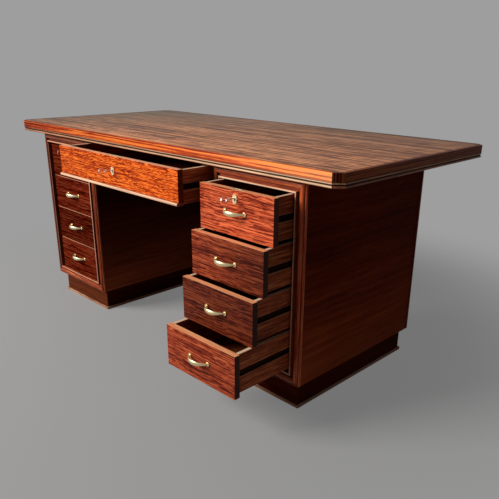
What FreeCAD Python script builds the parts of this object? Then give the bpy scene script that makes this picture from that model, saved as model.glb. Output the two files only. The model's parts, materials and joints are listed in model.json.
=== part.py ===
import FreeCAD, Part

import math
import os

from FreeCAD import Vector

# A rosewood kneehole writing desk: a clipped-corner top on two pedestals of four drawers,
# with a wide drawer between them. X runs along the desk, drawers face -Y, Z is up.
# Every size is in millimetres. The right-hand drawers and the middle one stand part open.

# The whole desk
desk_length = 1730.0
desk_depth = 795.0
desk_height = 760.0

# The top and the two strips that edge it
top_thickness = 40.5
corner_clip = 25.0
edging_width = 14.0
band_height = 25.5
band_arris = 1.6
upper_bead_height = 4.5
edge_groove_height = 3.0
edge_groove_depth = 3.0

# The pedestals, measured over their mouldings
pedestal_width = 380.0
pedestal_depth = 626.0
end_overhang = 132.0
front_overhang = 27.5
foot_height = 88.0

# The moulded frame round a pedestal's front, and the like one round its back
moulding_width = 37.5
moulding_thickness = 13.5
moulding_lap = 4.0
moulding_corner_radius = 7.0
outer_bead_width = 4.5
outer_bead_height = 6.5
outer_bead_radius = 2.5
outer_quirk_width = 1.5
round_width = 19.0
round_height = 12.0
round_foot_height = 4.0
inner_quirk_width = 7.5
quirk_floor_height = 3.0
lip_arris = 1.0

# The carcass boards
side_thickness = 28.0
bottom_thickness = 25.0
back_thickness = 16.0
rail_depth = 60.0
rail_clearance = 2.0
back_rail_height = 25.0

# The plinth under each pedestal, and the base shoe round it
plinth_front_recess = 30.0
plinth_side_recess = 23.0
plinth_back_recess = 22.0
plinth_thickness = 20.0
shoe_height = 11.0
shoe_thickness = 6.0
shoe_arris = 3.0

# The cross panel that closes the back of the kneehole
cross_panel_thickness = 18.0
cross_panel_height = 390.0
cross_panel_inset = 30.0

# Drawer fronts
drawers_per_pedestal = 4
front_thickness = 20.0
front_arris = 0.8
front_gap = 2.4
front_end_gap = 3.0
front_side_gap = 1.5
front_recess = 13.0

# Drawer boxes
box_inset = 5.0
box_side_thickness = 12.0
box_back_thickness = 12.0
box_back_drop = 8.0
box_bottom_thickness = 6.0
box_bottom_raise = 8.0
box_bottom_tongue = 5.0
box_raise = 12.0
box_depth = 540.0

# Runners on the carcass, which slide in a groove along each drawer side
groove_height = 20.0
groove_depth = 7.0
runner_top_clearance = 0.3
runner_bottom_clearance = 0.7
runner_side_clearance = 0.8
runner_end_clearance = 0.5

# The wide drawer over the kneehole
centre_top_gap = 4.5
centre_end_gap = 3.0
centre_front_height = 100.0
centre_box_inset = 7.0
centre_box_height = 104.0
centre_box_top_drop = 3.5
centre_box_depth = 500.0
finger_lip_height = 9.0
finger_lip_reach = 7.0
finger_lip_radius = 3.6

# How far each drawer is pulled out, from the top drawer down
right_pulls_out = (92.0, 129.0, 169.0, 237.0)
left_pulls_out = (0.0, 0.0, 0.0, 0.0)
centre_pulls_out = 141.0

# Bow pulls
pull_chord = 80.0
pull_reach = 27.0
pull_middle_height = 15.0
pull_middle_thickness = 7.0
pull_end_height = 6.5
pull_end_thickness = 5.0
pull_rise = 4.0
rose_radius = 6.5
rose_thickness = 3.0
rose_cover = 1.0
pull_stations = 9

# The screws that hold a pull from inside the drawer
screw_radius = 2.0
screw_clearance = 0.3
screw_thread_clearance = 0.05
screw_bite = 2.4
screw_head_radius = 4.2
screw_head_height = 2.6

# Drawer locks
lock_drop = 23.0
centre_lock_drop = 46.0
lock_case_width = 56.0
lock_case_depth = 13.0
lock_case_below_key = 20.0
lock_wall = 1.5
selvedge_length = 64.0
selvedge_width = 14.0
selvedge_thickness = 2.0
escutcheon_width = 19.0
escutcheon_height = 28.0
escutcheon_thickness = 1.4
escutcheon_drop = 3.0

# Lock bolts
bolt_width = 24.0
bolt_thickness = 4.4
bolt_travel = 10.0
bolt_clearance = 0.3
bolt_slot_radius = 3.2
bolt_heel = 2.8
strike_clearance = 1.2

# Keys
key_shaft_radius = 2.5
key_hole_clearance = 0.3
key_reach = 28.0
key_bit_length = 9.0
key_bit_thickness = 3.0
key_bit_width = 3.4
key_tip_clearance = 0.5
key_slot_clearance = 0.4
key_bow_length = 26.0
key_bow_height = 20.0
key_bow_bar = 5.0
key_bow_thickness = 3.0
key_bow_sink = 1.5
key_collar_radius = 4.0
key_collar_length = 3.0

# One overrun serves every cut
overrun = 5.0

# Heights that follow from those sizes
top_underside = desk_height - top_thickness
lower_bead_height = top_thickness - band_height - upper_bead_height - edge_groove_height
opening_bottom = foot_height + moulding_width
opening_top = top_underside - moulding_width
front_pitch = ((opening_top - opening_bottom - 2 * front_end_gap + front_gap)
               / drawers_per_pedestal)
front_height = front_pitch - front_gap
rail_underside = opening_top + rail_clearance

# Places along the desk, for the right-hand pedestal
pedestal_outer = desk_length / 2 - end_overhang
pedestal_inner = pedestal_outer - pedestal_width
pedestal_middle = pedestal_outer - pedestal_width / 2
carcass_outer = pedestal_outer - moulding_lap
carcass_inner = pedestal_inner + moulding_lap
bay_outer = carcass_outer - side_thickness
bay_inner = carcass_inner + side_thickness
front_width = pedestal_width - 2 * moulding_width - 2 * front_side_gap
box_width = front_width - 2 * box_inset

# Places from front to back
moulding_front = front_overhang - desk_depth / 2
moulding_back = moulding_front + pedestal_depth
carcass_front = moulding_front + moulding_thickness
carcass_back = moulding_back - moulding_thickness
back_panel_front = carcass_back - back_thickness
front_face = moulding_front + front_recess
runner_front = front_face + front_thickness + runner_end_clearance

# The wide drawer
centre_front_width = 2 * (pedestal_inner - centre_end_gap)
centre_box_width = centre_front_width - 2 * centre_box_inset
centre_front_top = top_underside - centre_top_gap
centre_box_bottom = centre_front_top - centre_box_top_drop - centre_box_height

# The part's origin lies on the floor, under the middle of everything as it stands
pull_front = pull_reach + pull_middle_thickness / 2
key_front = key_reach - key_bow_sink + key_bow_length
front_reach = max([pull_front + out for out in right_pulls_out + left_pulls_out]
                  + [key_front + max(right_pulls_out[0], left_pulls_out[0], centre_pulls_out)]
                  + [front_face + desk_depth / 2])
origin_shift = -(desk_depth / 2 + front_face - front_reach) / 2


def block(x_low, x_high, y_low, y_high, z_low, z_high):
    """A plain board between two corners."""
    size = (x_high - x_low, y_high - y_low, z_high - z_low)
    return Part.makeBox(*size, Vector(x_low, y_low, z_low))


def rod(radius, y_low, y_high, x=0, z=0):
    """A round bar along Y."""
    return Part.makeCylinder(radius, y_high - y_low, Vector(x, y_low, z), Vector(0, 1, 0))


def prism(corners, z_low, z_high):
    """An upright solid on an outline of (x, y) corners."""
    points = [Vector(x, y, z_low) for x, y in corners]
    outline = Part.makePolygon(points + points[:1])
    return Part.Face(outline).extrude(Vector(0, 0, z_high - z_low))


def inset(corners, width):
    """An anticlockwise outline drawn again, everywhere one width further in."""
    inner = []
    for i, (x, y) in enumerate(corners):
        after = corners[(i + 1) % len(corners)]
        run_in = Vector(x - corners[i - 1][0], y - corners[i - 1][1], 0).normalize()
        run_out = Vector(after[0] - x, after[1] - y, 0).normalize()
        normals = Vector(-run_in.y - run_out.y, run_in.x + run_out.x, 0)
        step = normals * (width / (1 + run_in.dot(run_out)))
        inner.append((x + step.x, y + step.y))
    return inner


def moulding_face(path, start, inward):
    """A moulding's section. A path's steps are (u, v) ends of lines, or (middle, end) of arcs."""

    def place(point):
        return start + inward * point[0] + Vector(0, 0, point[1])

    edges = []
    here = path[-1] if not isinstance(path[-1][0], tuple) else path[-1][1]
    for step in path:
        if isinstance(step[0], tuple):
            edges.append(Part.Arc(place(here), place(step[0]), place(step[1])).toShape())
            here = step[1]
        else:
            edges.append(Part.makeLine(place(here), place(step)))
            here = step
    return Part.Face(Part.Wire(edges))


def mitred_ring(corners, width, height, path):
    """Strips of one moulding along every side of an outline, mitred where they meet."""
    inner = inset(corners, width)
    strips = []
    for i, corner in enumerate(corners):
        j = (i + 1) % len(corners)
        start = Vector(corner[0], corner[1], 0)
        run = Vector(corners[j][0], corners[j][1], 0) - start
        inward = Vector(-run.y, run.x, 0).normalize()
        strip = moulding_face(path, start, inward).extrude(run)
        footprint = prism([corner, corners[j], inner[j], inner[i]], 0, height)
        strips.append(strip.common(footprint).Solids[0])
    return strips


def rectangle(x_low, x_high, y_low, y_high):
    return [(x_low, y_low), (x_high, y_low), (x_high, y_high), (x_low, y_high)]


def turned(solids, axis, degrees):
    return [solid.rotated(Vector(0, 0, 0), axis, degrees) for solid in solids]


def moved(solids, x, y, z):
    return [solid.translated(Vector(x, y, z)) for solid in solids]


def mirrored(solids):
    """The left-hand twin of pieces that belong to the right-hand pedestal."""
    return [solid.mirror(Vector(0, 0, 0), Vector(1, 0, 0)) for solid in solids]


def rounded_outside(corner_radius, section_height):
    """The path of an arc round the outer top corner of a section, and where it starts."""
    bend = corner_radius * (1 - math.sqrt(2) / 2)
    return (bend, section_height - bend), (corner_radius, section_height)


def top_outline():
    """The top seen from above: a long rectangle with its corners clipped at 45 degrees."""
    x = desk_length / 2
    y = desk_depth / 2
    clip = corner_clip
    return [(clip - x, -y), (x - clip, -y), (x, clip - y), (x, y - clip),
            (x - clip, y), (clip - x, y), (-x, y - clip), (-x, clip - y)]


def lock_strike(x_middle, z_low, z_high):
    """The mortise that a thrown bolt enters."""
    half = bolt_width / 2 + strike_clearance
    y_low = front_face + bolt_front - bolt_clearance
    y_high = front_face + bolt_front + bolt_thickness + bolt_clearance
    return block(x_middle - half, x_middle + half, y_low, y_high, z_low, z_high)


def top_panel():
    """The veneered board of the top, with the mortise for the middle drawer's bolt."""
    board = prism(inset(top_outline(), edging_width), top_underside, desk_height)
    thrown_to = centre_front_top + bolt_travel + strike_clearance
    return [board.cut(lock_strike(0, top_underside - overrun, thrown_to))]


def top_edge_band():
    """The tall upper strip of the top's edge, in eight mitred lengths."""
    arc = rounded_outside(band_arris, band_height)
    path = [(edging_width, 0), (0, 0), (0, band_height - band_arris), arc,
            (edging_width, band_height)]
    strips = mitred_ring(top_outline(), edging_width, band_height, path[1:] + path[:1])
    return moved(strips, 0, 0, desk_height - band_height)


def top_edge_bead():
    """Two beads with a groove between them, below the band, in eight mitred lengths."""
    height = top_thickness - band_height
    neck = edge_groove_depth
    groove_top = lower_bead_height + edge_groove_height
    path = [(neck, 0), ((0, lower_bead_height / 2), (neck, lower_bead_height)),
            (neck, groove_top), ((0, groove_top + upper_bead_height / 2), (neck, height)),
            (edging_width, height), (edging_width, 0)]
    strips = mitred_ring(top_outline(), edging_width, height, path)
    return moved(strips, 0, 0, top_underside)


def frame_path():
    """The frame's section: a small bead outside, a half round, a wide quirk and a thin lip."""
    quirk = outer_bead_width + outer_quirk_width
    crown = quirk + round_width / 2
    foot = quirk + round_width
    lip = foot + inner_quirk_width
    inner = moulding_width
    return [(0, 0), (0, outer_bead_height - outer_bead_radius),
            rounded_outside(outer_bead_radius, outer_bead_height),
            (outer_bead_width, outer_bead_height), (outer_bead_width, quirk_floor_height),
            (quirk, quirk_floor_height), (quirk, round_foot_height),
            ((crown, round_height), (foot, round_foot_height)),
            (foot, quirk_floor_height), (lip, quirk_floor_height), (lip, moulding_thickness),
            (inner - lip_arris, moulding_thickness), (inner, moulding_thickness - lip_arris),
            (inner, 0)]


def moulded_frame():
    """One mitred frame, lying on its back with its lower rail along X."""
    height = top_underside - foot_height
    corners = rectangle(-pedestal_width / 2, pedestal_width / 2, 0, height)
    strips = mitred_ring(corners, moulding_width, moulding_thickness, frame_path())
    slab = prism(corners, 0, moulding_thickness)
    upright = [edge for edge in slab.Edges if edge.BoundBox.ZLength > moulding_thickness / 2]
    eased = slab.makeFillet(moulding_corner_radius, upright)
    return [strip.common(eased).Solids[0] for strip in strips]


def front_frame():
    """The frame round the drawers of the right-hand pedestal."""
    frame = turned(moulded_frame(), Vector(1, 0, 0), 90)
    return moved(frame, pedestal_middle, carcass_front, foot_height)


def back_frame():
    """The like frame on the back of the right-hand pedestal."""
    frame = turned(turned(moulded_frame(), Vector(1, 0, 0), 90), Vector(0, 0, 1), 180)
    return moved(frame, pedestal_middle, carcass_back, foot_height)


def outer_side():
    return [block(bay_outer, carcass_outer, carcass_front, carcass_back,
                  foot_height, top_underside)]


def inner_side():
    return [block(carcass_inner, bay_inner, carcass_front, carcass_back,
                  foot_height, top_underside)]


def bottom_board():
    return [block(bay_inner, bay_outer, carcass_front, back_panel_front,
                  foot_height, foot_height + bottom_thickness)]


def back_panel():
    return [block(bay_inner, bay_outer, back_panel_front, carcass_back,
                  foot_height, top_underside)]


def top_rails():
    """The rails between the sides that the top is screwed to, the front one with the strike."""
    front = block(bay_inner, bay_outer, carcass_front, carcass_front + rail_depth,
                  rail_underside, top_underside)
    thrown_to = opening_top - front_end_gap + bolt_travel + strike_clearance
    front = front.cut(lock_strike(pedestal_middle, rail_underside - overrun, thrown_to))
    back = block(bay_inner, bay_outer, back_panel_front - rail_depth, back_panel_front,
                 top_underside - back_rail_height, top_underside)
    return [front, back]


def drawer_level(row):
    """The height of the lower edge of a drawer front, counted from the top drawer down."""
    return opening_top - front_end_gap + front_gap - (row + 1) * front_pitch


def groove_middle(row):
    return drawer_level(row) + box_raise + (front_height - box_raise) / 2


def runner(x_wall, x_tip, middle, y_back):
    """One hardwood strip, fixed to a wall and reaching into a drawer side's groove."""
    z_low = middle - groove_height / 2 + runner_bottom_clearance
    z_high = middle + groove_height / 2 - runner_top_clearance
    return block(min(x_wall, x_tip), max(x_wall, x_tip), runner_front, y_back, z_low, z_high)


def pedestal_runners():
    """The eight runners of the right-hand pedestal."""
    tip = box_width / 2 - groove_depth + runner_side_clearance
    strips = []
    for row in range(drawers_per_pedestal):
        middle = groove_middle(row)
        strips.append(runner(bay_inner, pedestal_middle - tip, middle, back_panel_front))
        strips.append(runner(bay_outer, pedestal_middle + tip, middle, back_panel_front))
    return strips


def centre_runners():
    """The two runners of the middle drawer, on the walls of the kneehole."""
    tip = centre_box_width / 2 - groove_depth + runner_side_clearance
    middle = centre_box_bottom + centre_box_height / 2
    y_back = carcass_back - cross_panel_inset - cross_panel_thickness
    right = runner(carcass_inner, tip, middle, y_back)
    return [right] + mirrored([right])


def cross_panel():
    """The panel that ties the pedestals together at the back of the kneehole."""
    y_back = carcass_back - cross_panel_inset
    return [block(-carcass_inner, carcass_inner, y_back - cross_panel_thickness, y_back,
                  top_underside - cross_panel_height, top_underside)]


def plinth_outline(outset):
    return rectangle(pedestal_inner + plinth_side_recess - outset,
                     pedestal_outer - plinth_side_recess + outset,
                     moulding_front + plinth_front_recess - outset,
                     moulding_back - plinth_back_recess + outset)


def plinth():
    """Four mitred boards that stand on the floor under the carcass, set back all round."""
    path = rectangle(0, plinth_thickness, 0, foot_height)
    return mitred_ring(plinth_outline(0), plinth_thickness, foot_height, path)


def base_shoe():
    """A thin mitred strip round the foot of the plinth, with its upper edge rounded."""
    arc = rounded_outside(shoe_arris, shoe_height)
    path = [(0, 0), (0, shoe_height - shoe_arris), arc, (shoe_thickness, shoe_height),
            (shoe_thickness, 0)]
    return mitred_ring(plinth_outline(shoe_thickness), shoe_thickness, shoe_height, path)


# The lock, drawn at a drawer front's face with X = 0 at its middle and Z = 0 at its top edge
case_front = front_thickness - lock_case_depth
bolt_front = case_front + lock_wall + bolt_clearance
key_bit_back = front_thickness - lock_wall - key_tip_clearance


def keyhole(drop, y_low, y_high, clearance):
    """The round hole for a key's shaft, and the slot below it for the bit."""
    hole = rod(key_shaft_radius + clearance, y_low, y_high, 0, -drop)
    half = key_bit_thickness / 2 + key_slot_clearance
    slot = block(-half, half, y_low, y_high, -drop - key_bit_length - key_slot_clearance, -drop)
    return hole.fuse(slot)


def lock_case(drop):
    """The case let into the back of a drawer front, with its plate on the top edge."""
    case_bottom = -drop - lock_case_below_key
    case = block(-lock_case_width / 2, lock_case_width / 2, case_front, front_thickness,
                 case_bottom, 0)
    plate = block(-selvedge_length / 2, selvedge_length / 2, front_thickness - selvedge_width,
                  front_thickness, -selvedge_thickness, 0)
    hollow = block(lock_wall - lock_case_width / 2, lock_case_width / 2 - lock_wall,
                   case_front + lock_wall, front_thickness - lock_wall,
                   case_bottom + lock_wall, -selvedge_thickness)
    half = bolt_width / 2 + bolt_clearance
    mouth = block(-half, half, bolt_front - bolt_clearance,
                  bolt_front + bolt_thickness + bolt_clearance,
                  -selvedge_thickness - overrun, overrun)
    keyway = keyhole(drop, case_front - overrun, case_front + lock_wall, key_hole_clearance)
    return case.fuse(plate).cut(hollow).cut(mouth).cut(keyway).removeSplitter()


def lock_mortise(drop):
    """What a drawer front loses to its lock: the case, the plate and the keyhole."""
    case = block(-lock_case_width / 2, lock_case_width / 2, case_front,
                 front_thickness + overrun, -drop - lock_case_below_key, overrun)
    plate = block(-selvedge_length / 2, selvedge_length / 2, front_thickness - selvedge_width,
                  front_thickness + overrun, -selvedge_thickness, overrun)
    return case.fuse(plate).fuse(keyhole(drop, -overrun, case_front, key_hole_clearance))


def escutcheon(drop):
    """The oval keyhole plate on a drawer front's face."""
    middle = Vector(0, -escutcheon_thickness, -drop - escutcheon_drop)
    oval = Part.Ellipse(middle + Vector(0, 0, escutcheon_height / 2),
                        middle + Vector(escutcheon_width / 2, 0, 0), middle)
    plate = Part.Face(Part.Wire(oval.toShape())).extrude(Vector(0, escutcheon_thickness, 0))
    return plate.cut(keyhole(drop, -overrun, overrun, key_hole_clearance))


def lock_bolt(drop):
    """The bolt, drawn back. The key's shaft passes through its long slot."""
    y_high = bolt_front + bolt_thickness
    reach = bolt_slot_radius + bolt_travel + bolt_heel
    plate = block(-bolt_width / 2, bolt_width / 2, bolt_front, y_high,
                  -drop - reach, -bolt_clearance)
    slot = block(-bolt_slot_radius, bolt_slot_radius, bolt_front - overrun, y_high + overrun,
                 -drop - bolt_travel, -drop)
    for z in (-drop, -drop - bolt_travel):
        slot = slot.fuse(rod(bolt_slot_radius, bolt_front - overrun, y_high + overrun, 0, z))
    return plate.cut(slot)


def key(drop):
    """A key in its lock: an oval bow, a collar, a round shaft and a bit that hangs down."""
    shaft = rod(key_shaft_radius, -key_reach, key_bit_back, 0, -drop)
    collar = rod(key_collar_radius, key_collar_length - key_reach,
                 2 * key_collar_length - key_reach, 0, -drop)
    bit = block(-key_bit_thickness / 2, key_bit_thickness / 2, key_bit_back - key_bit_width,
                key_bit_back, -drop - key_bit_length, -drop)
    middle = Vector(-key_bow_thickness / 2, key_bow_sink - key_reach - key_bow_length / 2, -drop)
    long_half = key_bow_length / 2
    short_half = key_bow_height / 2

    def oval(less):
        rim = Part.Ellipse(middle + Vector(0, long_half - less, 0),
                           middle + Vector(0, 0, short_half - less), middle)
        return Part.Face(Part.Wire(rim.toShape())).extrude(Vector(key_bow_thickness, 0, 0))

    bow = oval(0).cut(oval(key_bow_bar))
    return shaft.fuse(collar).fuse(bit).fuse(bow).removeSplitter()


def pull_section(share):
    """One oval section of the bow, from one end of its arc (-1) to the other (1)."""
    radius = (pull_chord ** 2 / 4 + pull_reach ** 2) / (2 * pull_reach)
    sweep = math.acos((radius - pull_reach) / radius)
    end = sweep * (1 - rose_cover / pull_reach)
    angle = share * end
    swell = math.cos(share * math.pi / 2) ** 2
    half_height = (pull_end_height + (pull_middle_height - pull_end_height) * swell) / 2
    half_thick = (pull_end_thickness + (pull_middle_thickness - pull_end_thickness) * swell) / 2
    out = Vector(math.sin(angle), -math.cos(angle), 0)
    middle = Vector(0, radius - pull_reach, 0) + out * radius
    ends = [middle + Vector(0, 0, half_height), middle + out * half_thick]
    oval = Part.Ellipse(ends[0], ends[1], middle)
    return Part.Wire(oval.toShape())


def pull():
    """A bow pull with its two roses, at a drawer front's face, drilled for its screws."""
    steps = pull_stations - 1
    sections = [pull_section(2 * i / steps - 1) for i in range(pull_stations)]
    handle = Part.makeLoft(sections, True, False)
    behind = block(-pull_chord, pull_chord, 0, pull_chord, -pull_chord, pull_chord)
    handle = handle.cut(behind)
    for x in (-pull_chord / 2, pull_chord / 2):
        handle = handle.fuse(rod(rose_radius, -rose_thickness, 0, x))
    for x in (-pull_chord / 2, pull_chord / 2):
        handle = handle.cut(rod(screw_radius + screw_thread_clearance, -screw_bite, overrun, x))
    return handle.removeSplitter()


def pull_screws():
    """The two screws of a pull, through the drawer front from inside."""
    screws = []
    for x in (-pull_chord / 2, pull_chord / 2):
        shank = rod(screw_radius, -screw_bite, front_thickness, x)
        head = rod(screw_head_radius, front_thickness, front_thickness + screw_head_height, x)
        screws.append(shank.fuse(head).removeSplitter())
    return screws


def drawer_front(width, height, box_span, groove_low, drop=None, pull_height=None):
    """A front board, at its face, with X = 0 at its middle and Z = 0 at its lower edge."""
    board = block(-width / 2, width / 2, 0, front_thickness, 0, height)
    face_edges = [edge for edge in board.Edges if edge.BoundBox.YMax < front_arris]
    board = board.makeFillet(front_arris, face_edges)
    groove_half = box_span / 2 - box_side_thickness
    board = board.cut(block(-groove_half, groove_half, front_thickness - box_bottom_tongue,
                            front_thickness + overrun, groove_low,
                            groove_low + box_bottom_thickness))
    if drop is not None:
        board = board.cut(lock_mortise(drop).translated(Vector(0, 0, height)))
    if pull_height is not None:
        for x in (-pull_chord / 2, pull_chord / 2):
            board = board.cut(rod(screw_radius + screw_clearance, -overrun,
                                  front_thickness + overrun, x, pull_height))
    return board


def drawer_box(width, height, depth):
    """Sides, back and bottom, with Y = 0 at the front board's back and Z = 0 below."""
    half = width / 2
    inner = half - box_side_thickness
    bottom_top = box_bottom_raise + box_bottom_thickness
    groove_low = height / 2 - groove_height / 2
    side = block(inner, half, 0, depth, 0, height)
    side = side.cut(block(half - groove_depth, half + overrun, -overrun, depth + overrun,
                          groove_low, groove_low + groove_height))
    side = side.cut(block(inner - overrun, inner + box_bottom_tongue, -overrun, depth + overrun,
                          box_bottom_raise, bottom_top))
    back = block(-inner, inner, depth - box_back_thickness, depth,
                 bottom_top, height - box_back_drop)
    bottom = block(-inner, inner, -box_bottom_tongue, depth, box_bottom_raise, bottom_top)
    tongues = block(-inner - box_bottom_tongue, inner + box_bottom_tongue, 0, depth,
                    box_bottom_raise, bottom_top)
    return [side] + mirrored([side]) + [back, bottom.fuse(tongues).removeSplitter()]


def finger_lip():
    """The strip below the middle drawer's front, which fingers pull on."""
    arc_low = finger_lip_radius * (1 - math.sqrt(2) / 2)
    low = finger_lip_radius
    high = finger_lip_height - finger_lip_radius
    path = [(finger_lip_reach + front_thickness, 0),
            (finger_lip_reach + front_thickness, finger_lip_height), (low, finger_lip_height),
            ((arc_low, high + finger_lip_radius - arc_low), (0, high)), (0, low),
            ((arc_low, arc_low), (low, 0))]
    start = Vector(-centre_front_width / 2, -finger_lip_reach, 0)
    section = moulding_face(path, start, Vector(0, 1, 0))
    return section.extrude(Vector(centre_front_width, 0, 0))


def pedestal_drawer(row, out, locked):
    """The pieces of one right-hand pedestal drawer, where it stands."""
    level = drawer_level(row)
    face = front_face - out
    pull_height = front_height / 2 + pull_rise
    drop = lock_drop if locked else None
    groove_low = box_raise + box_bottom_raise
    front = drawer_front(front_width, front_height, box_width, groove_low, drop, pull_height)
    box = drawer_box(box_width, front_height - box_raise, box_depth)
    pieces = {
        "front": moved([front], pedestal_middle, face, level),
        "box": moved(box, pedestal_middle, face + front_thickness, level + box_raise),
        "pull": moved([pull()] + pull_screws(), pedestal_middle, face, level + pull_height),
    }
    if locked:
        pieces.update(lock_pieces(lock_drop, pedestal_middle, face, level + front_height))
    return pieces


def lock_pieces(drop, x, face, top):
    return {
        "lock": moved([lock_case(drop), escutcheon(drop)], x, face, top),
        "lock_bolt": moved([lock_bolt(drop)], x, face, top),
        "key": moved([key(drop)], x, face, top),
    }


def centre_drawer():
    """The pieces of the wide drawer over the kneehole, where it stands."""
    face = front_face - centre_pulls_out
    front_low = centre_front_top - centre_front_height
    groove_low = centre_box_bottom + box_bottom_raise - front_low
    front = drawer_front(centre_front_width, centre_front_height, centre_box_width,
                         groove_low, centre_lock_drop)
    box = drawer_box(centre_box_width, centre_box_height, centre_box_depth)
    pieces = {
        "front": moved([front], 0, face, front_low),
        "box": moved(box, 0, face + front_thickness, centre_box_bottom),
        "finger_lip": moved([finger_lip()], 0, face, front_low - finger_lip_height),
    }
    pieces.update(lock_pieces(centre_lock_drop, 0, face, centre_front_top))
    return pieces


def desk():
    """Every node of the desk, by name."""
    nodes = {
        "top_panel": top_panel(),
        "top_edge_band": top_edge_band(),
        "top_edge_bead": top_edge_bead(),
        "cross_panel": cross_panel(),
        "centre_runners": centre_runners(),
    }
    pedestal = {
        "outer_side": outer_side(), "inner_side": inner_side(),
        "bottom_board": bottom_board(), "back_panel": back_panel(),
        "top_rails": top_rails(), "runners": pedestal_runners(),
        "front_frame": front_frame(), "plinth": plinth(),
    }
    for name, solids in pedestal.items():
        nodes["right_" + name] = solids
        nodes["left_" + name] = mirrored(solids)
    nodes["back_frames"] = back_frame() + mirrored(back_frame())
    nodes["base_shoes"] = base_shoe() + mirrored(base_shoe())
    for row in range(drawers_per_pedestal):
        locked = row == 0
        for side, outs in (("right", right_pulls_out), ("left", left_pulls_out)):
            for piece, solids in pedestal_drawer(row, outs[row], locked).items():
                name = "%s_drawer_%d_%s" % (side, row + 1, piece)
                nodes[name] = solids if side == "right" else mirrored(solids)
    for piece, solids in centre_drawer().items():
        nodes["centre_drawer_" + piece] = solids
    return nodes


def export(nodes):
    os.makedirs("parts", exist_ok=True)
    for name, solids in nodes.items():
        placed = moved(solids, 0, origin_shift, 0)
        shape = placed[0] if len(placed) == 1 else Part.makeCompound(placed)
        shape.exportStep("parts/%s.step" % name)


export(desk())
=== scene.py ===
import json
import math
import random
from collections import Counter, defaultdict, namedtuple

import bmesh
import bpy
from mathutils import Matrix, Vector
from mathutils.bvhtree import BVHTree


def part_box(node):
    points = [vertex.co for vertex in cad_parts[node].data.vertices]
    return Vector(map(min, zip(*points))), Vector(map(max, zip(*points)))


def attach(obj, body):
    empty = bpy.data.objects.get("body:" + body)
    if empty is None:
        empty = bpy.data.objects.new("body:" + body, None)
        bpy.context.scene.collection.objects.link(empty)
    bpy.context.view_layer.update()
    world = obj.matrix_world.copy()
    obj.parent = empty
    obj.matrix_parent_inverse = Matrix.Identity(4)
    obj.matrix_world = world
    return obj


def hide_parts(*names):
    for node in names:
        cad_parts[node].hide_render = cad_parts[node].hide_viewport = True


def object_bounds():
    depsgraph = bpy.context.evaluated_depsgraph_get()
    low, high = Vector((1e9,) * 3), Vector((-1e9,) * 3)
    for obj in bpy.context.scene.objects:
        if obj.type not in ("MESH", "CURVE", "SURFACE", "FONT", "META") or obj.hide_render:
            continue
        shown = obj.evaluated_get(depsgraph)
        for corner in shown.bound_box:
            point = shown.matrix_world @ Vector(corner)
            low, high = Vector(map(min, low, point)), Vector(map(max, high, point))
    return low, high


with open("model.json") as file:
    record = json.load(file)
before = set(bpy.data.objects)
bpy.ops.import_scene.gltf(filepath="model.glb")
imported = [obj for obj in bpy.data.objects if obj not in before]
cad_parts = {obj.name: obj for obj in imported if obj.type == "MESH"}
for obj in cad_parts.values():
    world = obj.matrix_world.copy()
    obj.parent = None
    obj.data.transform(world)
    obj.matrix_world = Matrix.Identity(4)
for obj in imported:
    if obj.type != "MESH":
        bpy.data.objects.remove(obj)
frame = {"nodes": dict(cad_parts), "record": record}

cad_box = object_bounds()

DESK_HEIGHT = cad_box[1][2]
# How far the middle of the top lies behind the frame's middle, which counts the drawers that stand out
DESK_MIDDLE_Y = 0.1135

# The photograph's camera: its eye from the middle of the desk's foot in millimetres, its turns in radians,
# and its focus, middle and side in pixels
EYE = (1741.6, -1576.4, 1027.7)
YAW, PITCH, ROLL = 0.77947, -0.37259, 0.00949
FOCUS_PIXELS, CENTRE_X, CENTRE_Y, PHOTO_SIDE = 594.32, 254.78, 287.73, 499

# The grey behind the desk, the floor's paint, and how far the floor reaches each way
BACKGROUND = (0.342, 0.342, 0.342, 1)
FLOOR_PAINT = (0.395, 0.40, 0.412, 1)
FLOOR_REACH = 60.0
# Between these distances the floor turns from paint into the plain grey, which is at least this share of it
PLAIN_FROM, PLAIN_TO, PLAIN_LEAST = 0.9, 2.1, 0.48

# Edges that turn more than this are eased
SHARP_EDGE = math.radians(34)
# Faces that turn less than this are one flat face
FLAT_FACE = math.radians(0.4)
# Faces that turn less than this flow into each other
SMOOTH_LIMIT = math.radians(58)
# How wide the easing is, and how long an edge has to be to get it
WOOD_BEVEL, WOOD_SHORTEST = 0.0009, 0.006
METAL_BEVEL, METAL_SHORTEST = 0.0003, 0.0015
# Boards whose edges up to this length stay sharp, so that the mortise for a thrown bolt keeps its shape
SHARP_MORTISES = {"top_panel": 0.03, "left_top_rails": 0.03, "right_top_rails": 0.03}
# Boards that are cut across, so that a tone can curve over them: along which axis, and into how many lengths
CUTS = {"top_panel": ((0, 10), (1, 5)), "top_edge_band": ((0, 8),), "_side": ((2, 9),)}
# How much of its normal points one way when a face looks nearly, mostly or half that way
NEARLY, MOSTLY, HALF = 0.9, 0.8, 0.5

# Painted shade in hollows, with some dirt: how far a face looks for what shuts it in, from how far off it,
# and its rings of rays, each with its tilt in degrees and its number of rays
HOLLOW_REACH, PROBE_LIFT, RAY_RINGS = 0.022, 0.0003, ((40, 4), (68, 6))
# How much painted shade and grime a groove's faces get at least
GROOVE_SHADE_AND_GRIME = 0.55
# Where the groove between the two edge beads is, above their foot, and half its height
EDGE_GROOVE = (0.0090, 0.0018)
# A drawer side is thinner and taller than this, and its groove lies this far inside its faces and edges
SIDE_THICKNESS, SIDE_HEIGHT, GROOVE_DEPTH, GROOVE_MARGIN = 0.03, 0.05, 0.002, 0.004
# A board in a drawer box that is lower than this is its bottom
THIN_BOTTOM = 0.012
# How far in from a front frame's outside its thin pale lip begins
LIP_FROM_OUTSIDE = 0.0322
# A length across a clipped corner is about as wide as it is deep, within these ratios
CORNER_RATIO = (0.8, 1.25)
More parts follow.
